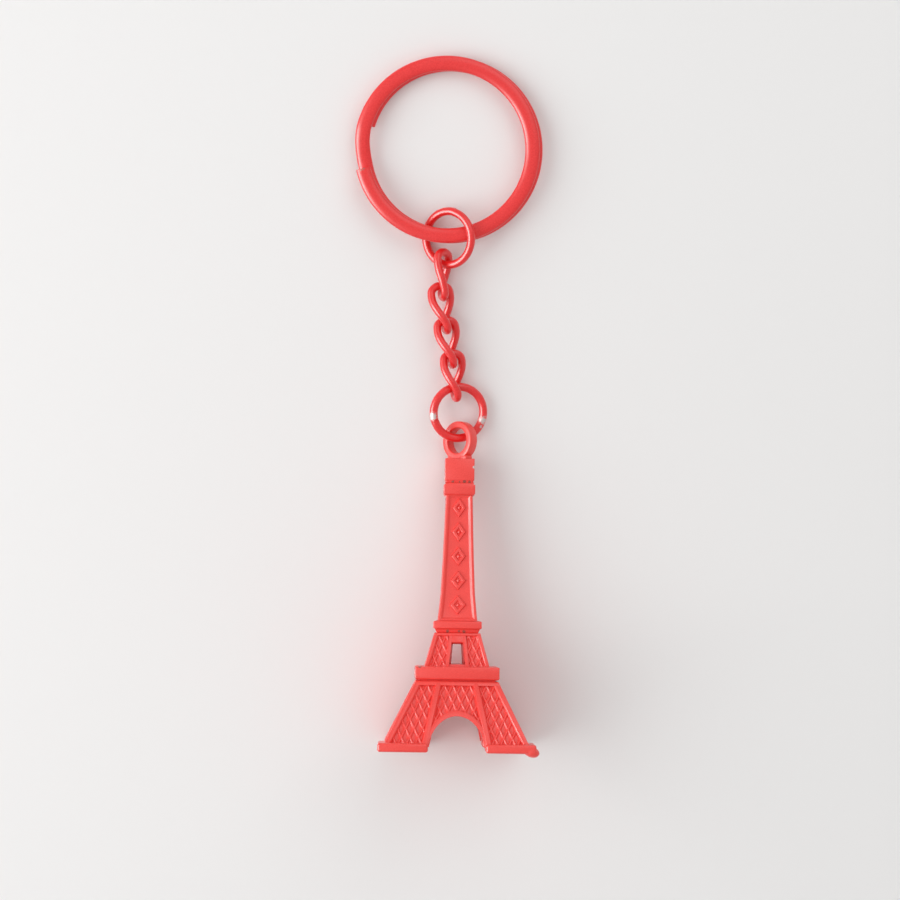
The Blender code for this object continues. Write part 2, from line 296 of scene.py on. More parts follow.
def enamel(name, finish, chips=()):
    # chips, and on the tower also painted shade and a painted highlight: (place in metres, reach in mm, what
    # shows)
    material = bpy.data.materials.new(name)
    material.use_nodes = True
    tree = material.node_tree
    shader = tree.nodes["Principled BSDF"]
    place = addNode(tree, "ShaderNodeTexCoord")
    peel = addNode(tree, "ShaderNodeGroup", node_tree=orangePeel)
    tree.links.new(place.outputs["Object"], peel.inputs["Vector"])
    peel.inputs["Ripple per mm"].default_value = finish["ripplePerMm"]
    peel.inputs["Grit per mm"].default_value = finish["gritPerMm"]
    peel.inputs["Grit share"].default_value = finish["gritShare"]
    tone = addNode(tree, "ShaderNodeMapRange", {
        "Value": peel.outputs["Tone"], "From Min": paintFilm["toneLow"],
        "From Max": paintFilm["toneHigh"]})
    colour = addNode(tree, "ShaderNodeMix", {
        "Factor": tone.outputs[0], 6: paint[finish["deep"]], 7: paint[finish["light"]]},
        data_type="RGBA")
    last = colour.outputs[2]
    spotMask = None
    for centre, reach, bare in chips:
        spotGroup = addNode(tree, "ShaderNodeGroup", node_tree=chipAndPaintedLightSpot)
        tree.links.new(place.outputs["Object"], spotGroup.inputs["Vector"])
        spotGroup.inputs["Centre"].default_value = centre
        spotGroup.inputs["Reach mm"].default_value = reach
        spotGroup.inputs["Ragged"].default_value = reach * spotLook["ragged"]
        spotted = addNode(tree, "ShaderNodeMix", {
            "Factor": spotGroup.outputs["Mask"], 6: last, 7: paint[bare]}, data_type="RGBA")
        last = spotted.outputs[2]
        if spotMask is None:
            spotMask = spotGroup.outputs["Mask"]
        else:
            both = addNode(tree, "ShaderNodeMath", {0: spotMask, 1: spotGroup.outputs["Mask"]},
                           operation="MAXIMUM")
            spotMask = both.outputs[0]
    if spotMask is None:
        shader.inputs["Roughness"].default_value = finish["roughness"]
    else:
        metal = addNode(tree, "ShaderNodeMath", {0: spotMask, 1: spotLook["metal"]},
                        operation="MULTIPLY")
        tree.links.new(metal.outputs[0], shader.inputs["Metallic"])
        gloss = addNode(tree, "ShaderNodeMix", {
            "Factor": spotMask, "A": finish["roughness"], "B": spotLook["roughness"]},
            data_type="FLOAT")
        tree.links.new(gloss.outputs["Result"], shader.inputs["Roughness"])
    tree.links.new(last, shader.inputs["Base Color"])
    relief = addNode(tree, "ShaderNodeBump", {
        "Height": peel.outputs["Height"], "Strength": finish["bump"],
        "Distance": paintFilm["relief"] * mm})
    tree.links.new(relief.outputs[0], shader.inputs["Normal"])
    shader.inputs["Coat Weight"].default_value = paintFilm["coat"]
    shader.inputs["Coat Roughness"].default_value = paintFilm["coatRoughness"]
    return material


def spinWire(ring, steps, total):
    # carries one section round the Z axis, anticlockwise, and leaves the ends apart
    editAll(ring)
    bpy.ops.mesh.spin(steps=steps, angle=-total, center=(0, 0, 0), axis=(0, 0, 1),
                      use_auto_merge=False)
    editOff()


def capWire(ring, spec):
    # closes both cut ends and draws their rims in
    editAll(ring)
    bpy.ops.mesh.fill_holes(sides=0)
    bpy.ops.mesh.normals_make_consistent(inside=False)
    pickFaces(ring, lambda face: len(face.verts) > 4)
    bpy.ops.mesh.inset(thickness=spec["endInset"], depth=spec["endDome"])
    editOff()


def smoothStep(share):
    return share * share * (3 - 2 * share)


splitRingSpec = {
    "outer": 24.6,           # mm, one turn
    "wireWidth": 1.95,
    "wireThickness": 0.98,
    "fullness": 0.85,        # 1 makes the section an ellipse, less makes it fuller
    "turnGap": 0.06,
    "lowerShift": 0.4,       # the lower turn lies this far to the right
    "upperEnd": 193,         # degrees, where the upper turn is cut
    "lowerEnd": 163,
    "endInset": 0.09,
    "endDome": 0.06,
    "stepsPerTurn": 150,
    "sectionSize": 28,
    "smoothAngle": 40,
    "chips": [               # distance from the middle, degrees, lift, reach, what shows
        (11.2, 189, 1.15, 0.62, "dullSteel"),
        (11.5, 191, 1.15, 0.62, "dullSteel"),
        (11.0, 187, 1.1, 0.45, "dullSteel"),
    ],
}
splitRingFinish = {
    "deep": "wireDeep",
    "light": "wireLight",
    "roughness": 0.4,
    "ripplePerMm": 0.8,
    "gritPerMm": 5.0,
    "gritShare": 0.2,
    "bump": 0.35,
}


def makeSplitRing():
    spec = splitRingSpec
    hinge = joints["split_ring_turn"]
    radius = (spec["outer"] - spec["wireWidth"]) / 2
    total = radians(spec["lowerEnd"] - spec["upperEnd"] + 720)
    steps = round(spec["stepsPerTurn"] * total / (2 * pi))
    deselectAll()
    bpy.ops.mesh.primitive_circle_add(vertices=spec["sectionSize"], radius=1)
    ring = bpy.context.object
    for vert in ring.data.vertices:
        side = 1 if vert.co.x > 0 else -1
        across = side * abs(vert.co.x) ** spec["fullness"] * spec["wireWidth"] / 2
        vert.co = (radius + across, 0, vert.co.y * spec["wireThickness"] / 2)
    spinWire(ring, steps, total)
    # the spin lays one section after the other, so a point's section gives its angle
    start = Matrix.Rotation(radians(spec["upperEnd"]), 3, "Z")
    rise = (spec["wireThickness"] + spec["turnGap"]) / 2
    rampStart = radians(spec["lowerEnd"] + 360 - spec["upperEnd"])
    rampEnd = radians(360)
    for vert in ring.data.vertices:
        turned = total * (vert.index // spec["sectionSize"]) / steps
        down = smoothStep(max(0.0, min(1.0, (turned - rampStart) / (rampEnd - rampStart))))
        vert.co = start @ vert.co
        vert.co.z += rise * (1 - 2 * down)
        vert.co.x += down * spec["lowerShift"]
    capWire(ring, spec)
    turn = Vector((0, 0, 1)).rotation_difference(Vector(hinge["axis"])).to_matrix().to_4x4()
    putInPlace(ring, Matrix.Translation(Vector(hinge["pos_m"])) @ turn)
    smoothBy(ring, spec["smoothAngle"])
    ring.name = "split_ring_wire"
    return ring


upperJumpSpec = {
    "outer": 8.15,           # mm
    "wire": 1.07,
    "tilt": -33,             # degrees about +Y
    "seam": 76,              # degrees, where the ring is cut
    "seamGap": 0.03,
    "spread": 0.3,           # how far the cut ends stand apart along the ring's axis
    "endInset": 0.1,
    "endDome": 0.05,
    "steps": 120,
    "sectionSize": 24,
    "smoothAngle": 40,
    "chips": [],
}
lowerJumpSpec = dict(
    upperJumpSpec, outer=8.0, wire=1.1, tilt=15, seam=197, seamGap=0.08, spread=-0.12,
    chips=[
        (3.5, 187, 1.3, 0.62, "bareSteelAndHighlight"),
        (3.4, -19, -0.5, 0.65, "bareSteelAndHighlight"),
        (3.5, -33, -0.4, 0.3, "bareSteelAndHighlight"),
    ])
wireFinish = dict(splitRingFinish, roughness=0.28, ripplePerMm=1.0, bump=0.3)


def makeJumpRing(name, node, spec):
    radius = (spec["outer"] - spec["wire"]) / 2
    gap = spec["seamGap"] / radius
    deselectAll()
    bpy.ops.mesh.primitive_circle_add(vertices=spec["sectionSize"], radius=spec["wire"] / 2,
                                      location=(radius, 0, 0), rotation=(pi / 2, 0, 0))
    ring = bpy.context.object
    bpy.ops.object.transform_apply(location=True, rotation=True, scale=True)
    spinWire(ring, spec["steps"], 2 * pi - gap)
    start = Matrix.Rotation(radians(spec["seam"]) + gap / 2, 3, "Z")
    for vert in ring.data.vertices:
        share = (vert.index // spec["sectionSize"]) / spec["steps"]
        vert.co = start @ vert.co
        vert.co.z += spec["spread"] * 4 * (share - 0.5) ** 3
    capWire(ring, spec)
    tilt = Matrix.Rotation(radians(spec["tilt"]), 4, "Y")
    putInPlace(ring, Matrix.Translation(middleOf(node)) @ tilt)
    smoothBy(ring, spec["smoothAngle"])
    ring.name = name
    return ring


def ringChips(centre, spec):
    # the chips of a ring that lies flat, as places in metres
    chips = []
    for away, degrees, lift, reach, bare in spec["chips"]:
        angle = radians(degrees)
        spot = centre + Vector((away * cos(angle), away * sin(angle), lift)) * mm
        chips.append((spot, reach, bare))
    return chips


linkSpec = {
    "wire": 1.05,            # mm
    "length": 7.1,
    "width": 4.04,
    "seam": 115,             # degrees round the link from its right side
    "knots": 32,
    "stepsPerKnot": 4,
    "roundness": 8,
    "endTurn": 1.6,          # how soon a straight side gives way to the round end
    "smoothAngle": 60,
    "places": {              # bearing to the left of +Y, roll of the far end, twist to the near end
        1: (0, 51, 51),
        2: (9.7, 11.5, 90),
        3: (9.4, 13, 90),
        4: (5.7, 13.5, 90),
    },
}


def makeLink(number):
    spec = linkSpec
    bearing, roll, turned = [radians(angle) for angle in spec["places"][number]]
    half = (spec["length"] - spec["wire"]) / 2
    side = (spec["width"] - spec["wire"]) / 2
    straight = half - side
    deselectAll()
    bpy.ops.curve.primitive_bezier_circle_add(radius=side)
    loop = bpy.context.object
    bpy.ops.object.mode_set(mode="EDIT")
    bpy.ops.curve.select_all(action="SELECT")
    bpy.ops.curve.subdivide(number_cuts=spec["knots"] // 4 - 1)
    bpy.ops.object.mode_set(mode="OBJECT")
    knots = loop.data.splines[0].bezier_points
    for i, knot in enumerate(knots):
        angle = radians(spec["seam"]) + 2 * pi * i / len(knots)
        across = side * cos(angle)
        along = side * sin(angle) + straight * max(-1, min(1, spec["endTurn"] * sin(angle)))
        twist = roll + turned * smoothStep((half - along) / (2 * half))
        knot.co = (across * cos(twist), along, -across * sin(twist))
        knot.handle_left_type = "AUTO"
        knot.handle_right_type = "AUTO"
    loop.data.dimensions = "3D"
    loop.data.resolution_u = spec["stepsPerKnot"]
    loop.data.bevel_depth = spec["wire"] / 2
    loop.data.bevel_resolution = spec["roundness"]
    bpy.context.view_layer.update()
    only(loop)
    bpy.ops.object.convert(target="MESH")
    loop = bpy.context.object
    loop.data.transform(Matrix.Rotation(bearing, 4, "Z"))
    # the link goes where its own box and its CAD node's box have one middle
    corners = [Vector(corner) for corner in loop.bound_box]
    middle = sum(corners, Vector()) / 8
    putInPlace(loop, Matrix.Translation(middleOf(f"chain_link_{number}") - middle * mm))
    smoothBy(loop, spec["smoothAngle"])
    loop.name = f"curb_link_{number}"
    return loop


def towerPlace():
    # takes the upright tower (mm, feet at height 0, front towards -Y) to where it lies
    foot = mounts["foot_face"]
    up = -Vector(foot["axis"])
    right = up.cross(Vector((0, 0, 1))).normalized()
    front = right.cross(up)
    offset = 7.1 * mm        # the mount stands this far out to the right and to the front
    spot = Vector(foot["pos_m"]) - offset * (right + front)
    return Matrix.Translation(spot) @ Matrix((right, -front, up)).transposed().to_4x4()


# each storey is a steep pyramid: heights and half widths of its faces in mm
lowerStorey = {"bottom": 1.2, "bottomHalf": 9.25, "top": 9.0, "topHalf": 5.4}
midStorey = {"bottom": 11.0, "bottomHalf": 4.22, "top": 15.4, "topHalf": 2.98}


def slopeOf(storey):
    return atan2(storey["bottomHalf"] - storey["topHalf"], storey["top"] - storey["bottom"])


def halfAt(storey, height):
    return storey["bottomHalf"] - (height - storey["bottom"]) * tan(slopeOf(storey))


def upFace(storey, height):
    # a height above the feet as a distance up the slope of the face
    return (height - storey["bottom"]) / cos(slopeOf(storey))


def facePlace(storey):
    # takes a flat drawing (X across, Y up the slope, Z out) to the storey's front
    slope = slopeOf(storey)
    axes = Matrix(((1, 0, 0), (0, sin(slope), cos(slope)), (0, -cos(slope), sin(slope))))
    base = Matrix.Translation((0, -storey["bottomHalf"], storey["bottom"]))
    return base @ axes.transposed().to_4x4()


def fourSides(part):
    # the front's part and its copies on the right, back and left
    copies = [part]
    for turn in (90, 180, 270):
        other = part.copy()
        other.data = part.data.copy()
        other.data.transform(Matrix.Rotation(radians(turn), 4, "Z"))
        bpy.context.scene.collection.objects.link(other)
        copies.append(other)
    return copies


def block(name, centre, size):
    deselectAll()
    bpy.ops.mesh.primitive_cube_add(size=1, location=centre, scale=size)
    obj = bpy.context.object
    bpy.ops.object.transform_apply(location=True, rotation=True, scale=True)
    obj.name = name
    return obj


def widenFaces(obj, test, share):
    # scales the picked faces across, about the middle plane
    pickFaces(obj, test)
    bpy.ops.transform.resize(value=(share, 1, 1), center_override=(0, 0, 0))


def squareStack(name, levels):
    # levels: (height, half width) from the bottom up
    height, half = levels[0]
    deselectAll()
    bpy.ops.mesh.primitive_plane_add(size=2 * half, location=(0, 0, height))
    obj = bpy.context.object
    obj.name = name
    bpy.ops.object.transform_apply(location=True, rotation=True, scale=True)
    editAll(obj)
    for nextHeight, nextHalf in levels[1:]:
        rise = {"value": (0, 0, nextHeight - height)}
        bpy.ops.mesh.extrude_region_move(TRANSFORM_OT_translate=rise)
        grow = nextHalf / half
        bpy.ops.transform.resize(value=(grow, grow, 1), center_override=(0, 0, nextHeight))
        height, half = nextHeight, nextHalf
    bpy.ops.mesh.select_all(action="SELECT")
    bpy.ops.mesh.normals_make_consistent(inside=False)
    editOff()
    return obj


def bar(name, start, end, width, depth, flank, top):
    # a raised rib on a flat drawing, from start to end, its sides flared by flank
    run = Vector(end) - Vector(start)
    middle = (Vector(start) + Vector(end)) / 2
    footWidth = width + 2 * flank
    obj = block(name, (0, 0, 0), (footWidth, run.length, depth))
    editOn(obj)
    widenFaces(obj, facesUp, width / footWidth)
    editOff()
    obj.rotation_euler = (0, 0, -atan2(run.x, run.y))
    obj.location = (middle.x, middle.y, top - depth / 2)
    only(obj)
    bpy.ops.object.transform_apply(location=True, rotation=True, scale=True)
    return obj


latticeSpec = {
    "inFromEdge": 0.5,       # mm, the plate ends under the corner posts
    "ridgeDown": 0.18,       # the strips lie this far below the posts and ribs
    "thick": 0.5,
    "diamondWidth": 1.1,
    "diamondHeight": 2.5,
    "strip": 0.12,
    "flank": 0.15,
    "sink": 0.24,
    "narrowest": 0.27,       # cells with less room than this inside them stay whole
    "round": 0.03,
    "roundAngle": 20,        # degrees
}


def latticePlate(name, storey, low, high, spec, opening):
    # a slab along the storey's front less its opening, its face cut into sunk diamonds
    lowHalf = halfAt(storey, low) - spec["inFromEdge"]
    highHalf = halfAt(storey, high) - spec["inFromEdge"]
    foot, head = upFace(storey, low), upFace(storey, high)
    plate = block(name, (0, (foot + head) / 2, -spec["ridgeDown"] - spec["thick"] / 2),
                  (2 * lowHalf, head - foot, spec["thick"]))
    editOn(plate)
    pickVerts(plate, lambda co: co.y > (foot + head) / 2)
    bpy.ops.transform.resize(value=(highHalf / lowHalf, 1, 1), center_override=(0, 0, 0))
    editOff()
    cut(plate, opening)
    editOn(plate)
    rise = head - foot           # a whole number of half diamonds fits in it
    slant = atan2(spec["diamondWidth"], 2 * rise / round(2 * rise / spec["diamondHeight"]))
    reach = lowHalf + rise * tan(slant)
    rows = round(reach / spec["diamondWidth"])
    for side in (-1, 1):
        for i in range(-rows, rows + 1):
            pickFaces(plate, facesUp)
            across = (i + 0.5) * spec["diamondWidth"]
            bpy.ops.mesh.bisect(plane_co=(across, head, 0),
                                plane_no=(cos(slant), side * sin(slant), 0))
    pickFaces(plate, lambda face: facesUp(face) and roomIn(face) > spec["narrowest"])
    bpy.ops.mesh.inset(thickness=spec["strip"] / 2, use_individual=True)
    bpy.ops.mesh.inset(thickness=spec["flank"], depth=-spec["sink"], use_individual=True)
    editOff()
    bevelEdges(plate, spec["round"], angle=spec["roundAngle"])
    return plate


def cornerPost(storey, spec):
    low, high, size = spec["postLow"], spec["postHigh"], spec["post"]
    lowHalf, highHalf = halfAt(storey, low), halfAt(storey, high)
    centre = lowHalf - size / 2
    post = block("corner_post", (-centre, -centre, (low + high) / 2), (size, size, high - low))
    editOn(post)
    pickFaces(post, facesUp)
    inward = lowHalf - highHalf
    bpy.ops.transform.translate(value=(inward, inward, 0))
    # the two uprights beside the faces, whose foot is not on the diagonal
    pickEdges(post, lambda edge: isUpright(edge) and offDiagonal(edge) > size / 2)
    bpy.ops.mesh.bevel(offset=spec["postChamfer"] * size, segments=1)
    editOff()
    bevelEdges(post, spec["postRound"])
    return post


def storeyBand(name, storey, spec):
    # the plain band that ends a storey's faces at the top
    low, high, lip = spec["bandLow"], spec["bandHigh"], spec["bandLip"]
    band = squareStack(name, [
        (low - lip, halfAt(storey, low - lip) - spec["bandUnder"]),
        (low, halfAt(storey, low) + spec["bandProud"]),
        (high, halfAt(storey, high) + spec["bandProud"])])
    bevelEdges(band, spec["bandRound"])
    return band


legsSpec = {
    "archHalf": 4.04,        # mm
    "archSpring": -1.3,
    "archStretch": 1.485,    # height of the arch against its half width
    "coreArchRoom": 0.06,    # the openings in the core and the lattice are this much wider
    "latticeArchRoom": 0.15,
    "wayDepth": 30,
    "mouldingLow": 0.35,
    "moulding": 0.5,         # width of the band round the arch
    "mouldingDepth": 0.7,
    "mouldingRound": 0.07,
    "archSides": 96,
    "post": 0.95,
    "postLow": 1.0,
    "postHigh": 8.9,
    "postChamfer": 0.3,      # share of the post's size
    "postRound": 0.09,
    "ribTop": 2.4,           # rib's middle at the top of the face, from the centre line
    "ribBottom": 4.15,
    "ribWidth": 0.56,
    "ribDepth": 0.45,
    "ribFlank": 0.32,
    "ribProud": 0.04,
    "ribRound": 0.06,
    "ribHigh": 8.8,
    "faceLow": 0.9,
    "faceHigh": 8.7,
    "bandLow": 8.5,
    "bandHigh": 9.0,
    "bandLip": 0.1,
    "bandUnder": 0.3,
    "bandProud": 0.02,
    "bandRound": 0.1,
    "recess": 0.5,           # the core lies this far behind the faces
    "coreLow": 0.6,
    "coreTop": (9.6, 5.0),   # height and half width, inside the first platform
}


def cutArches(body, spec):
    for turn in (0, pi / 2):
        deselectAll()
        bpy.ops.mesh.primitive_cylinder_add(
            vertices=spec["archSides"], radius=spec["archHalf"] + spec["coreArchRoom"],
            depth=spec["wayDepth"], rotation=(pi / 2, 0, turn))
        cutter = bpy.context.object
        bpy.ops.object.transform_apply(location=True, rotation=True, scale=True)
        cutter.data.transform(Matrix.Scale(spec["archStretch"], 4, (0, 0, 1)))
        cutter.data.transform(Matrix.Translation((0, 0, spec["archSpring"])))
        cut(body, cutter)


def archWay(storey, spec):
    # cutter for the lattice's opening, flat as the face is drawn
    deselectAll()
    bpy.ops.mesh.primitive_cylinder_add(
        vertices=spec["archSides"], radius=spec["archHalf"] + spec["latticeArchRoom"], depth=3)
    way = bpy.context.object
    upwards = spec["archStretch"] / cos(slopeOf(storey))
    way.data.transform(Matrix.Scale(upwards, 4, (0, 1, 0)))
    way.data.transform(Matrix.Translation((0, upFace(storey, spec["archSpring"]), 0)))
    return way


def archMoulding(storey, spec):
    # half a ring drawn flat on the face, its inner wall kept level with the arch's way through
    slope = slopeOf(storey)
    depth, width = spec["mouldingDepth"], spec["moulding"]
    deselectAll()
    bpy.ops.mesh.primitive_plane_add(size=1, location=(spec["archHalf"] + width / 2, 0, 0),
                                     rotation=(pi / 2, 0, 0))
    band = bpy.context.object
    band.scale = (width, depth, 1)
    bpy.ops.object.transform_apply(location=True, rotation=True, scale=True)
    start = asin((spec["mouldingLow"] - spec["archSpring"]) / (spec["archHalf"] * spec["archStretch"]))
    editAll(band)
    bpy.ops.mesh.spin(steps=64, angle=2 * start - pi, center=(0, 0, 0), axis=(0, 0, 1))
    editOff()
    band.data.transform(Matrix.Rotation(start, 4, "Z"))
    editAll(band)
    bpy.ops.mesh.remove_doubles(threshold=0.0001)
    bpy.ops.mesh.fill_holes(sides=0)
    bpy.ops.mesh.normals_make_consistent(inside=False)
    editOff()
    bevelEdges(band, spec["mouldingRound"])
    # the crown keeps the band's width although the arch is stretched upwards
    spare = (1 - 1 / spec["archStretch"]) / 2
    stretch = spec["archStretch"] * (1 - width / (spec["archHalf"] + width) * spare)
    for vert in band.data.vertices:
        out = vert.co.z - depth / 2
        vert.co.y = vert.co.y * stretch / cos(slope) - out * tan(slope)
        vert.co.y += upFace(storey, spec["archSpring"])
        vert.co.z = out
    return band


def makeLegs():
    storey, spec = lowerStorey, legsSpec
    core = squareStack("leg_core", [
        (spec["coreLow"], halfAt(storey, spec["coreLow"]) - spec["recess"]),
        (storey["top"], storey["topHalf"] - spec["recess"]), spec["coreTop"]])
    cutArches(core, spec)
    front = [
        latticePlate("leg_lattice", storey, spec["faceLow"], spec["faceHigh"], latticeSpec,
                     archWay(storey, spec)),
        archMoulding(storey, spec)]
    for side in (-1, 1):
        start = (side * spec["ribBottom"], upFace(storey, spec["faceLow"]))
        end = (side * spec["ribTop"], upFace(storey, spec["ribHigh"]))
        rib = bar("leg_rib", start, end, spec["ribWidth"], spec["ribDepth"], spec["ribFlank"],
                  spec["ribProud"])
        bevelEdges(rib, spec["ribRound"])
        front.append(rib)
    for part in front:
        part.data.transform(facePlace(storey))
    front.append(cornerPost(storey, spec))
    pieces = [core, storeyBand("leg_band", storey, spec)]
    for part in front:
        pieces += fourSides(part)
    return joined("tower_legs", pieces)


feetSpec = {
    "half": 10.2,            # mm
    "backHalf": 9.4,
    "inner": 3.72,
    "thick": 1.15,
    "round": 0.3,
    "lump": {                # left by the mould on the front right foot
        "spot": (9.55, -9.3, 0.28),
        "size": (1.1, 0.95, 0.72),
        "lean": 0.35,
    },
}


def makeFeet():
    spec, lump = feetSpec, feetSpec["lump"]
    centre = (spec["half"] + spec["inner"]) / 2
    size = spec["half"] - spec["inner"]
    foot = block("foot", (-centre, -centre, spec["thick"] / 2), (size, size, spec["thick"]))
    bevelEdges(foot, spec["round"], 4)
    feet = fourSides(foot)
    for other in feet[2:]:      # the two at the back stand in line with the legs
        editOn(other)
        pickVerts(other, lambda co: abs(co.x) > spec["half"] - 0.5)
        bpy.ops.transform.resize(value=(spec["backHalf"] / spec["half"], 1, 1),
                                 center_override=(0, 0, 0))
        editOff()
    deselectAll()
    bpy.ops.mesh.primitive_uv_sphere_add(segments=32, ring_count=18, radius=1,
                                         location=lump["spot"], rotation=(0, lump["lean"], 0),
                                         scale=lump["size"])
    feet.append(bpy.context.object)
    bpy.ops.object.transform_apply(location=True, rotation=True, scale=True)
    return joined("tower_feet", feet)


platformSpec = {             # levels: height and half width in mm
    "first": [(9.2, 5.2), (9.3, 5.44), (9.42, 5.52), (10.9, 5.52)],
    "firstRound": 0.16,
    "second": [(15.3, 2.74), (15.55, 2.82), (15.85, 2.98), (15.92, 3.18), (16.8, 3.18), (16.95, 2.75)],
    "secondRound": 0.12,
}


def makePlatforms():
    first = squareStack("first_platform", platformSpec["first"])
    bevelEdges(first, platformSpec["firstRound"], 3)
    second = squareStack("second_platform", platformSpec["second"])
    bevelEdges(second, platformSpec["secondRound"], 3)
    return joined("tower_platforms", [first, second])


midSpec = {
    "windowLow": 11.25,      # mm
    "windowHigh": 14.1,
    "windowLowHalf": 1.08,
    "windowHighHalf": 0.76,
    "windowLowInside": 0.66,    # half width in the middle of the tower
    "windowFlare": 0.18,        # share wider for each mm outwards
    "wayReach": 10.0,           # each window's cutter runs from the middle out past the face
    "stile": 0.45,
    "stileDepth": 0.9,
    "stileFlank": 0.02,
    "stileProud": -0.02,
    "stileHigh": 15.0,
    "lintelHeight": 14.55,
    "lintel": (1.62, 0.95, 0.92),
    "frameRound": 0.06,
    "gap": 2.4,                 # width of the lattice's opening
    "gapMiddle": 12.5,
    "gapHigh": 14.2,
    "faceLow": 10.8,
    "faceHigh": 15.1,
    "post": 0.62,
    "postLow": 10.8,
    "postHigh": 15.2,
    "postChamfer": 0.3,
    "postRound": 0.09,
    "bandLow": 15.0,
    "bandHigh": 15.3,
    "bandLip": 0.1,
    "bandUnder": 0.2,
    "bandProud": 0.02,
    "bandRound": 0.08,
    "recess": 0.42,
    "coreLow": 10.7,
    "coreHigh": 15.6,
    "lattice": dict(latticeSpec, inFromEdge=0.3, diamondWidth=0.98, diamondHeight=2.3, thick=0.4),
}


def cutWindows(body, spec):
    low, high, reach = spec["windowLow"], spec["windowHigh"], spec["wayReach"]
    for turn in (0, pi / 2, pi, -pi / 2):
        cutter = block("window_way", (0, -reach / 2, (low + high) / 2),
                       (2 * spec["windowLowInside"], reach, high - low + 0.1))
        editOn(cutter)
        widenFaces(cutter, lambda face: face.normal.y < -0.9, 1 + spec["windowFlare"] * reach)
        widenFaces(cutter, facesUp, spec["windowHighHalf"] / spec["windowLowHalf"])
        editOff()
        cutter.data.transform(Matrix.Rotation(turn, 4, "Z"))
        cut(body, cutter)


def windowStile(storey, spec, side):
    # follows the window's slanting edge over the whole height of the face
    width = spec["stile"]
    low = side * (spec["windowLowHalf"] + width / 2)
    high = side * (spec["windowHighHalf"] + width / 2)
    drift = (high - low) / (spec["windowHigh"] - spec["windowLow"])
    ends = []
    for height in (spec["faceLow"], spec["stileHigh"]):
        ends.append((low + drift * (height - spec["windowLow"]), upFace(storey, height)))
    stile = bar("window_stile", *ends, width, spec["stileDepth"], spec["stileFlank"],
                spec["stileProud"])
    bevelEdges(stile, spec["frameRound"])
    return stile


def makeMidStorey():
    storey, spec = midStorey, midSpec
    core = squareStack("mid_core", [
        (height, halfAt(storey, height) - spec["recess"])
        for height in (spec["coreLow"], spec["coreHigh"])])
    cutWindows(core, spec)
    gap = block("window_gap", (0, upFace(storey, spec["gapMiddle"]), 0),
                (spec["gap"], upFace(storey, spec["gapHigh"]) * 2, 3))
    front = [latticePlate("mid_lattice", storey, spec["faceLow"], spec["faceHigh"],
                          spec["lattice"], gap)]
    for side in (-1, 1):
        front.append(windowStile(storey, spec, side))
    lintel = block("window_lintel", (0, upFace(storey, spec["lintelHeight"]), -0.5), spec["lintel"])
    bevelEdges(lintel, spec["frameRound"])
    front.append(lintel)
    for part in front:
        part.data.transform(facePlace(storey))
    front.append(cornerPost(storey, spec))
    pieces = [core, storeyBand("mid_band", storey, spec)]
    for part in front:
        pieces += fourSides(part)
    return joined("tower_mid_storey", pieces)


shaftSpec = {
    "profile": [(16.9, 2.6), (18.6, 2.42), (20.5, 2.24), (25.0, 2.04), (29.5, 1.88), (33.7, 1.76)],
    "corner": 0.12,          # mm
    "rim": 0.34,
    "flank": 0.26,
    "recess": 0.27,
    "panelRound": 0.04,
    "panelTurn": 0.55,       # radians, edges sharper than this are the panels' edges
    "panelLow": 17.1,
    "panelHigh": 33.5,
    "lozenges": 5,
    "firstLozenge": 19.0,
    "lozengePitch": 3.22,
    "narrowing": 0.65,       # share of the shaft's narrowing that the lozenges follow
}
lozengeSpec = {
    "width": 2.3,            # mm
    "height": 2.75,
    "stroke": 0.3,
    "proud": 0.27,
    "back": 0.1,             # stands this deep in the panel
    "taper": 0.84,           # the raised face against the foot
    "innerFlank": 0.1,
    "innerSink": 0.9,        # share of the height
    "round": 0.05,
    "boss": 0.22,
    "bossShape": (1, 1.3, 0.9),
}


def shaftHalf(height):
    profile = shaftSpec["profile"]
    for (lowZ, lowHalf), (highZ, highHalf) in zip(profile, profile[1:]):
        if height <= highZ:
            return lowHalf + (highHalf - lowHalf) * (height - lowZ) / (highZ - lowZ)
    return profile[-1][1]


def makeLozenge(width):
    # raised outline of a lozenge with a small boss, drawn flat, its back at Z 0
    spec = lozengeSpec
    proud, back = spec["proud"], spec["back"]
    deselectAll()
    bpy.ops.mesh.primitive_cylinder_add(vertices=4, radius=1, depth=proud + back,
                                        location=(0, 0, (proud - back) / 2), end_fill_type="NGON")
    lozenge = bpy.context.object
    bpy.ops.object.transform_apply(location=True, rotation=True, scale=True)
    lozenge.data.transform(Matrix.Diagonal((width / 2, spec["height"] / 2, 1, 1)))
    editOn(lozenge)
    pickFaces(lozenge, facesUp)
    bpy.ops.transform.resize(value=(spec["taper"], spec["taper"], 1), center_override=(0, 0, 0))
    bpy.ops.mesh.inset(thickness=spec["stroke"])
    bpy.ops.mesh.inset(thickness=spec["innerFlank"], depth=-proud * spec["innerSink"])
    editOff()
    bevelEdges(lozenge, spec["round"], angle=30)
    deselectAll()
    bpy.ops.mesh.primitive_uv_sphere_add(segments=16, ring_count=8, radius=spec["boss"],
                                         scale=spec["bossShape"], location=(0, 0, 0.02))
    boss = bpy.context.object
    bpy.ops.object.transform_apply(location=True, rotation=True, scale=True)
    return joined("lozenge", [lozenge, boss])


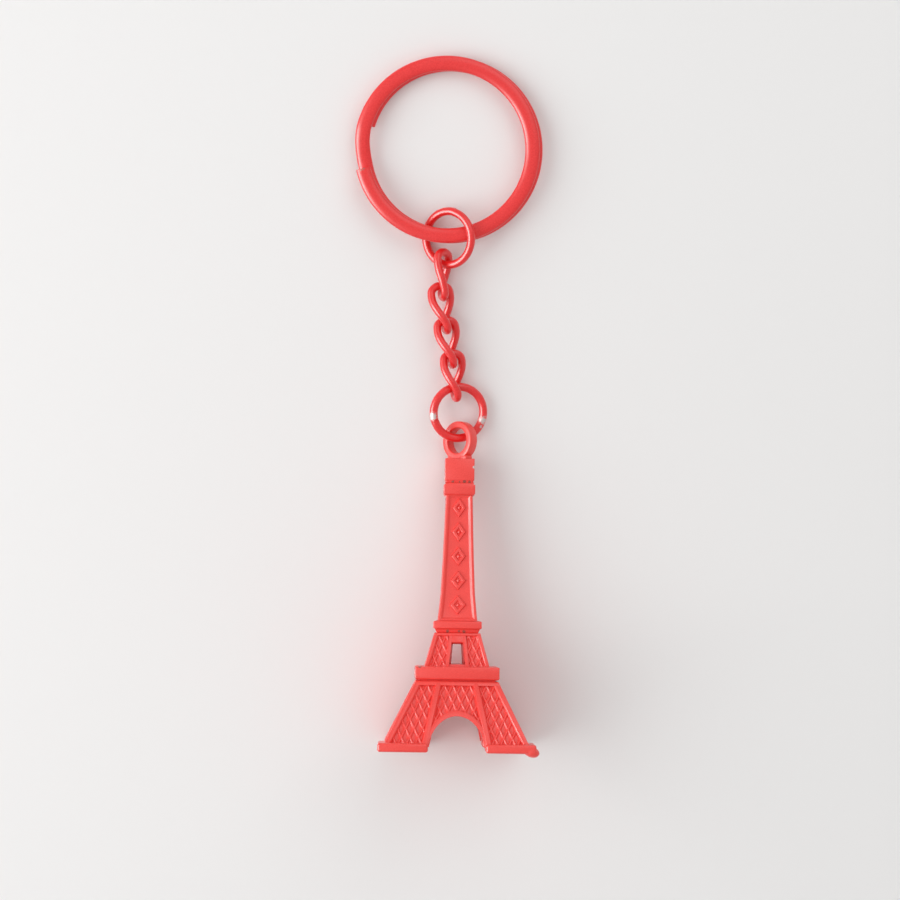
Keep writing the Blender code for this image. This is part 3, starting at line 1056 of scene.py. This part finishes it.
def makeShaft():
    spec = shaftSpec

    def isCorner(edge):
        return abs(edge.verts[0].co.x - edge.verts[1].co.x) < 0.3 and isUpright(edge)

    def isPanelEdge(edge):
        if not edge.is_manifold or edge.calc_face_angle() <= spec["panelTurn"]:
            return False
        return all(spec["panelLow"] < vert.co.z < spec["panelHigh"] for vert in edge.verts)

    shaft = squareStack("shaft", spec["profile"])
    editOn(shaft)
    pickEdges(shaft, isCorner)
    bpy.ops.mesh.bevel(offset=spec["corner"], segments=3)
    for axis in (0, 1):
        for sign in (-1, 1):
            pickFaces(shaft, lambda face: face.normal[axis] * sign > 0.97)
            bpy.ops.mesh.inset(thickness=spec["rim"] - spec["corner"])
            bpy.ops.mesh.inset(thickness=spec["flank"], depth=-spec["recess"])
    pickEdges(shaft, isPanelEdge)
    bpy.ops.mesh.bevel(offset=spec["panelRound"], segments=2)
    editOff()
    pieces = [shaft]
    for i in range(spec["lozenges"]):
        height = spec["firstLozenge"] + i * spec["lozengePitch"]
        lean = atan2(shaftHalf(height - 0.5) - shaftHalf(height + 0.5), 1)
        shrink = shaftHalf(height) / shaftHalf(spec["firstLozenge"])
        width = lozengeSpec["width"] * (1 - spec["narrowing"] * (1 - shrink))
        lozenge = makeLozenge(width)
        stand = Matrix.Translation((0, -shaftHalf(height) + spec["recess"], height))
        lozenge.data.transform(stand @ Matrix.Rotation(pi / 2 - lean, 4, "X"))
        pieces += fourSides(lozenge)
    return joined("tower_shaft", pieces)


headSpec = {
    "levels": [(33.5, 1.72), (33.62, 1.98), (33.8, 2.08), (35.05, 2.08), (35.2, 1.96), (35.25, 1.8),
               (35.45, 1.8), (35.55, 1.95), (38.45, 1.95)],
    "round": 0.13,
}


def makeHead():
    head = squareStack("tower_head", headSpec["levels"])
    bevelEdges(head, headSpec["round"], 3)
    return head


loopSpec = {
    "outer": 5.2,            # mm
    "hole": 3.4,
    "thick": 1.4,
    "height": 40.95,         # the hole's middle
    "turn": -45,             # degrees about the tower's upright axis
    "round": 0.2,
    "steps": 72,
    "neckWidth": 3.5,
    "neckTall": 0.8,
    "neckHeight": 38.6,
    "neckThick": 0.96,       # against the loop's
    "neckRound": 0.25,
}


def makeLoop():
    spec = loopSpec
    turn = Matrix.Rotation(radians(spec["turn"]), 4, "Z")
    middle = (spec["outer"] + spec["hole"]) / 4
    deselectAll()
    bpy.ops.mesh.primitive_plane_add(size=1, location=(middle, 0, 0), rotation=(pi / 2, 0, 0))
    loop = bpy.context.object
    loop.scale = ((spec["outer"] - spec["hole"]) / 2, spec["thick"], 1)
    bpy.ops.object.transform_apply(location=True, rotation=True, scale=True)
    editAll(loop)
    bpy.ops.mesh.bevel(offset=spec["round"], segments=3, affect="VERTICES")
    bpy.ops.mesh.delete(type="ONLY_FACE")
    bpy.ops.mesh.select_all(action="SELECT")
    bpy.ops.mesh.spin(steps=spec["steps"], angle=2 * pi, center=(0, 0, 0), axis=(0, 0, 1))
    bpy.ops.mesh.select_all(action="SELECT")
    bpy.ops.mesh.remove_doubles(threshold=0.0001)
    bpy.ops.mesh.normals_make_consistent(inside=False)
    editOff()
    stand = Matrix.Translation((0, 0, spec["height"])) @ turn
    loop.data.transform(stand @ Matrix.Rotation(pi / 2, 4, "X"))
    neck = block("loop_neck", (0, 0, spec["neckHeight"]),
                 (spec["neckWidth"], spec["thick"] * spec["neckThick"], spec["neckTall"]))
    neck.data.transform(turn)
    bevelEdges(neck, spec["neckRound"], 3)
    return joined("tower_loop", [loop, neck])


castingFinish = {
    "deep": "castDeep",
    "light": "castLight",
    "roughness": 0.38,
    "ripplePerMm": 1.3,
    "gritPerMm": 7.0,
    "gritShare": 0.4,
    "bump": 0.5,
}
castingChipsAndPaintedLight = [             # chips, painted shade specks and a painted highlight: place on the upright tower in mm, reach in mm, what shows
    # painted highlight: a pale spot on the head's front right corner
    ((1.95, -1.9, 37.3), 0.26, "bareSteelAndHighlight"),
    # painted shade: dark brown specks in a row along the head's groove
    ((-0.9, -1.8, 35.35), 0.22, "primerAndShade"),
    ((0.0, -1.8, 35.33), 0.17, "primerAndShade"),
    ((0.6, -1.8, 35.38), 0.25, "primerAndShade"),
    ((1.3, -1.8, 35.33), 0.22, "primerAndShade"),
    ((-2.05, -2.05, 35.1), 0.18, "bareSteelAndHighlight"),
    ((2.0, -2.05, 35.1), 0.16, "bareSteelAndHighlight"),
    # painted shade: dark brown specks along the band under the second platform
    ((0.9, -2.85, 15.5), 0.26, "primerAndShade"),
    ((0.2, -2.85, 15.55), 0.2, "primerAndShade"),
    ((-1.3, -2.85, 15.5), 0.24, "primerAndShade"),
    # a primer chip on the first platform's front left corner
    ((-4.9, -5.5, 10.85), 0.2, "primerAndShade"),
]


def makeTower():
    place = towerPlace()
    # the casting's chips with its painted shade specks and painted highlight, as places in metres
    chips = [(place @ (Vector(spot) * mm), reach, bare) for spot, reach, bare in castingChipsAndPaintedLight]
    casting = enamel("enamel_on_casting", castingFinish, chips)
    for make in (makeLegs, makeFeet, makePlatforms, makeMidStorey, makeShaft, makeHead, makeLoop):
        part = make()
        putInPlace(part, place)
        smoothBy(part, 35)
        finishPiece(part, "tower_charm", casting)
        print(part.name, len(part.data.polygons), "faces")


shotSpec = {
    "height": 0.300,         # metres
    "aim": (0.00024, -0.00574, 0.0),
    "stand": (-0.00467, 0.03418),   # camera's foot point, from the aim
    "lens": 89.47,
}


def makeCamera():
    aim = Vector(shotSpec["aim"])
    spot = aim + Vector((*shotSpec["stand"], shotSpec["height"]))
    data = bpy.data.cameras.new("camera")
    data.lens = shotSpec["lens"]
    data.sensor_width = 36
    data.clip_start = 0.01
    camera = bpy.data.objects.new("camera", data)
    bpy.context.scene.collection.objects.link(camera)
    forward = (aim - spot).normalized()
    right = forward.cross(Vector((0, 1, 0))).normalized()
    up = right.cross(forward)
    turn = Matrix((right, up, -forward)).transposed().to_4x4()
    camera.matrix_world = Matrix.Translation(spot) @ turn
    bpy.context.scene.camera = camera


tableSpec = {"size": 3, "top": -0.00005, "colour": (0.83, 0.825, 0.82, 1), "roughness": 0.75}
roomSpec = {"colour": (1, 0.995, 0.99, 1), "strength": 0.6}
lightSpec = {                # metres and watts, all aimed at the middle of the table
    "window": {"spot": (-0.45, 0.02, 0.32), "size": 0.55, "power": 1.8},
    "far_window": {"spot": (0.25, 0.45, 0.45), "size": 0.6, "power": 0.95},
    "window_glint": {        # the bright pane, which only shows as a sheen on the paint
        "spot": (-0.42, -0.06, 0.27), "size": 0.4, "power": 3.6, "tint": (1, 0.86, 0.86),
        "sheenOnly": True},
}


def makeLight(name, spec):
    data = bpy.data.lights.new(name, "AREA")
    data.shape = "DISK"
    data.size = spec["size"]
    data.energy = spec["power"]
    data.color = spec.get("tint", (1, 1, 1))
    light = bpy.data.objects.new(name, data)
    light.location = spec["spot"]
    light.rotation_euler = (-Vector(spec["spot"])).to_track_quat("-Z", "Y").to_euler()
    light.visible_diffuse = not spec.get("sheenOnly", False)
    bpy.context.scene.collection.objects.link(light)


def makeStage():
    deselectAll()
    bpy.ops.mesh.primitive_plane_add(size=tableSpec["size"], location=(0, 0, tableSpec["top"]))
    floor = bpy.context.object
    floor.name = "floor"
    material = bpy.data.materials.new("pale_table")
    material.use_nodes = True
    shader = material.node_tree.nodes["Principled BSDF"]
    shader.inputs["Base Color"].default_value = tableSpec["colour"]
    shader.inputs["Roughness"].default_value = tableSpec["roughness"]
    floor.data.materials.append(material)
    world = bpy.data.worlds.new("room")
    world.use_nodes = True
    background = world.node_tree.nodes["Background"]
    background.inputs["Color"].default_value = roomSpec["colour"]
    background.inputs["Strength"].default_value = roomSpec["strength"]
    bpy.context.scene.world = world
    for name, spec in lightSpec.items():
        makeLight(name, spec)
    bpy.context.scene.view_settings.view_transform = "Standard"


makeTower()
print("tower done")

splitRing = makeSplitRing()
ringMiddle = Vector(joints["split_ring_turn"]["pos_m"])
finishPiece(splitRing, "split_ring", enamel(
    "enamel_on_split_ring", splitRingFinish, ringChips(ringMiddle, splitRingSpec)))
print("split ring done")

for side, spec in (("upper", upperJumpSpec), ("lower", lowerJumpSpec)):
    node = f"{side}_jump_ring"
    ring = makeJumpRing(f"{side}_jump_wire", node, spec)
    finishPiece(ring, node, enamel(
        f"enamel_on_{side}_ring", wireFinish, ringChips(middleOf(node), spec)))
print("jump rings done")

for number in linkSpec["places"]:
    link = makeLink(number)
    finishPiece(link, f"chain_link_{number}", enamel(
        f"enamel_on_link_{number}", wireFinish))
print("chain done")

makeCamera()
makeStage()
print("camera, table and lights done")
